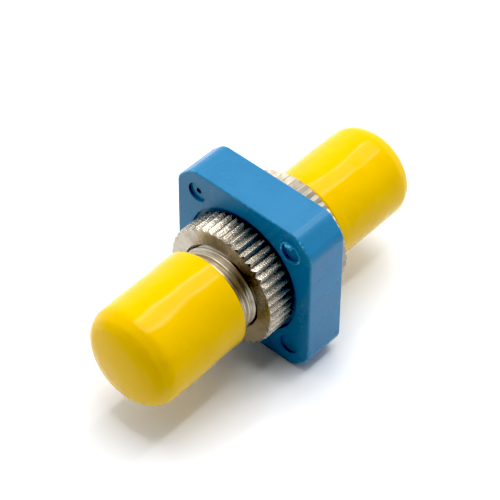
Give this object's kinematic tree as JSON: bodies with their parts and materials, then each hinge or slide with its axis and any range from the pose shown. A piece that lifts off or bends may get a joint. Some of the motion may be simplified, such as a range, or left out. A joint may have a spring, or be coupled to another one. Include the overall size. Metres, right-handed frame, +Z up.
{
  "type": "st fibre adapter",
  "caption": "Bulkhead fibre adapter: threaded barrel held in a square flange by knurled nuts, with capped bayonet sockets and a split sleeve that lines plug ferrules up.",
  "frame": {"origin": "on the barrel's axis, in the middle plane of the flange", "axes": "+Y along the barrel towards the rear, +Z up, the flange standing on its lower edge; the front is towards -Y"},
  "size_m": [0.018, 0.04, 0.0188],
  "materials": {
    "flange_plastic": "moulded blue, semi-gloss",
    "nickel_barrel": "turned brass, nickel plated",
    "nickel_nut": "knurled brass, nickel plated",
    "nickel_pin": "brass pin, nickel plated",
    "brass_holder": "turned, bare",
    "sleeve_ceramic": "ground white ceramic",
    "vinyl_cap": "dipped yellow vinyl, glossy"
  },
  "bodies": {
    "adapter": {"flange": "flange_plastic", "barrel": "nickel_barrel", "split_sleeve": "sleeve_ceramic", "front_sleeve_holder": "brass_holder", "rear_sleeve_holder": "brass_holder", "front_left_bayonet_pin": "nickel_pin", "front_right_bayonet_pin": "nickel_pin", "rear_left_bayonet_pin": "nickel_pin", "rear_right_bayonet_pin": "nickel_pin"},
    "front_nut": {"front_knurled_nut": "nickel_nut"},
    "rear_nut": {"rear_knurled_nut": "nickel_nut"},
    "front_cap": {"front_dust_cap": "vinyl_cap"},
    "rear_cap": {"rear_dust_cap": "vinyl_cap"}
  },
  "joints": [
    {"name": "front_cap_pull", "type": "slide", "parent": "adapter", "child": "front_cap", "axis": [0, -1, 0], "range_m": [0, 0.025]},
    {"name": "rear_cap_pull", "type": "slide", "parent": "adapter", "child": "rear_cap", "axis": [0, 1, 0], "range_m": [0, 0.025]},
    {"name": "front_nut_travel", "type": "slide", "parent": "adapter", "child": "front_nut", "axis": [0, -1, 0], "range_m": [0, 0.002]},
    {"name": "rear_nut_travel", "type": "slide", "parent": "adapter", "child": "rear_nut", "axis": [0, 1, 0], "range_m": [0, 0.00075]}
  ]
}
